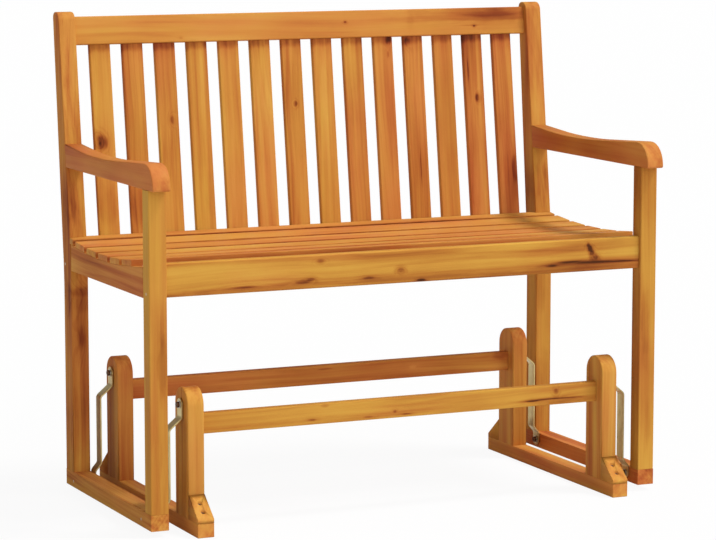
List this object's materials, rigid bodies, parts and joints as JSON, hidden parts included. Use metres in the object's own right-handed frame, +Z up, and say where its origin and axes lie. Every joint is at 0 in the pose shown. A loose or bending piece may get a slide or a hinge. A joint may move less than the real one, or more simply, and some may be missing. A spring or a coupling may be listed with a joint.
{
  "type": "glider bench",
  "caption": "Slatted wooden garden bench with arms, hung by bent metal straps from a standing base so that it glides to and fro.",
  "frame": {"origin": "on the floor, under the middle of the overall box", "axes": "+Z up, +X along the bench to the right seen from the front, +Y to the rear"},
  "size_m": [1.1, 0.5865, 0.98],
  "materials": {
    "acacia": "oiled acacia, satin",
    "acacia_back_slats": "oiled acacia, satin",
    "acacia_seat_slats": "oiled acacia, satin",
    "acacia_base": "oiled acacia, satin",
    "pale_plug": "sanded end grain",
    "strap_metal": "pale yellow zinc plate",
    "screw_steel": "zinc plated",
    "washer_steel": "zinc plated"
  },
  "bodies": {
    "base": {"floor_rail_left": "acacia_base", "floor_rail_right": "acacia_base", "upright_front_left": "acacia_base", "foot_block_front_left": "acacia_base", "upright_front_right": "acacia_base", "foot_block_front_right": "acacia_base", "upright_rear_left": "acacia_base", "foot_block_rear_left": "acacia_base", "upright_rear_right": "acacia_base", "foot_block_rear_right": "acacia_base", "stretcher_front": "acacia_base", "stretcher_rear": "acacia_base", "foot_block_screws": "screw_steel", "upper_pivot_screws": "screw_steel", "upper_pivot_washers": "washer_steel"},
    "bench": {"rear_post_left": "acacia", "rear_post_right": "acacia", "front_leg_left": "acacia", "front_leg_right": "acacia", "armrest_left": "acacia", "armrest_right": "acacia", "side_seat_rail_left": "acacia", "side_seat_rail_right": "acacia", "middle_seat_rail": "acacia", "front_apron": "acacia", "lower_back_rail": "acacia", "top_back_rail": "acacia", "back_slat_01": "acacia_back_slats", "back_slat_02": "acacia_back_slats", "back_slat_03": "acacia_back_slats", "back_slat_04": "acacia_back_slats", "back_slat_05": "acacia_back_slats", "back_slat_06": "acacia_back_slats", "back_slat_07": "acacia_back_slats", "back_slat_08": "acacia_back_slats", "back_slat_09": "acacia_back_slats", "back_slat_10": "acacia_back_slats", "back_slat_11": "acacia_back_slats", "back_slat_12": "acacia_back_slats", "back_slat_13": "acacia_back_slats", "back_slat_14": "acacia_back_slats", "seat_slat_1": "acacia_seat_slats", "seat_slat_2": "acacia_seat_slats", "seat_slat_3": "acacia_seat_slats", "seat_slat_4": "acacia_seat_slats", "seat_slat_5": "acacia_seat_slats", "seat_slat_6": "acacia_seat_slats", "foot_rail_left": "acacia", "foot_rail_right": "acacia", "joint_plugs": "pale_plug", "lower_pivot_screws": "screw_steel", "lower_pivot_washers": "washer_steel"},
    "link_front_left": {"link_front_left": "strap_metal"},
    "link_front_right": {"link_front_right": "strap_metal"},
    "link_rear_left": {"link_rear_left": "strap_metal"},
    "link_rear_right": {"link_rear_right": "strap_metal"}
  },
  "joints": [
    {"name": "swing_front_left", "type": "hinge", "parent": "base", "child": "link_front_left", "pos_m": [-0.493, -0.2093, 0.247], "axis": [1, 0, 0], "range_deg": [-20, 20]},
    {"name": "swing_front_right", "type": "hinge", "parent": "base", "child": "link_front_right", "pos_m": [0.493, -0.2093, 0.247], "axis": [1, 0, 0], "range_deg": [-20, 20]},
    {"name": "swing_rear_left", "type": "hinge", "parent": "base", "child": "link_rear_left", "pos_m": [-0.493, 0.1867, 0.247], "axis": [1, 0, 0], "range_deg": [-20, 20]},
    {"name": "swing_rear_right", "type": "hinge", "parent": "base", "child": "link_rear_right", "pos_m": [0.493, 0.1867, 0.247], "axis": [1, 0, 0], "range_deg": [-20, 20]},
    {"name": "bench_level", "type": "hinge", "parent": "link_front_left", "child": "bench", "pos_m": [-0.493, -0.2093, 0.031], "axis": [1, 0, 0], "range_deg": [-20, 20]}
  ],
  "couplings": [
    {"joint": "swing_front_right", "follows": "swing_front_left", "ratio": 1},
    {"joint": "swing_rear_left", "follows": "swing_front_left", "ratio": 1},
    {"joint": "swing_rear_right", "follows": "swing_front_left", "ratio": 1},
    {"joint": "bench_level", "follows": "swing_front_left", "ratio": -1}
  ]
}
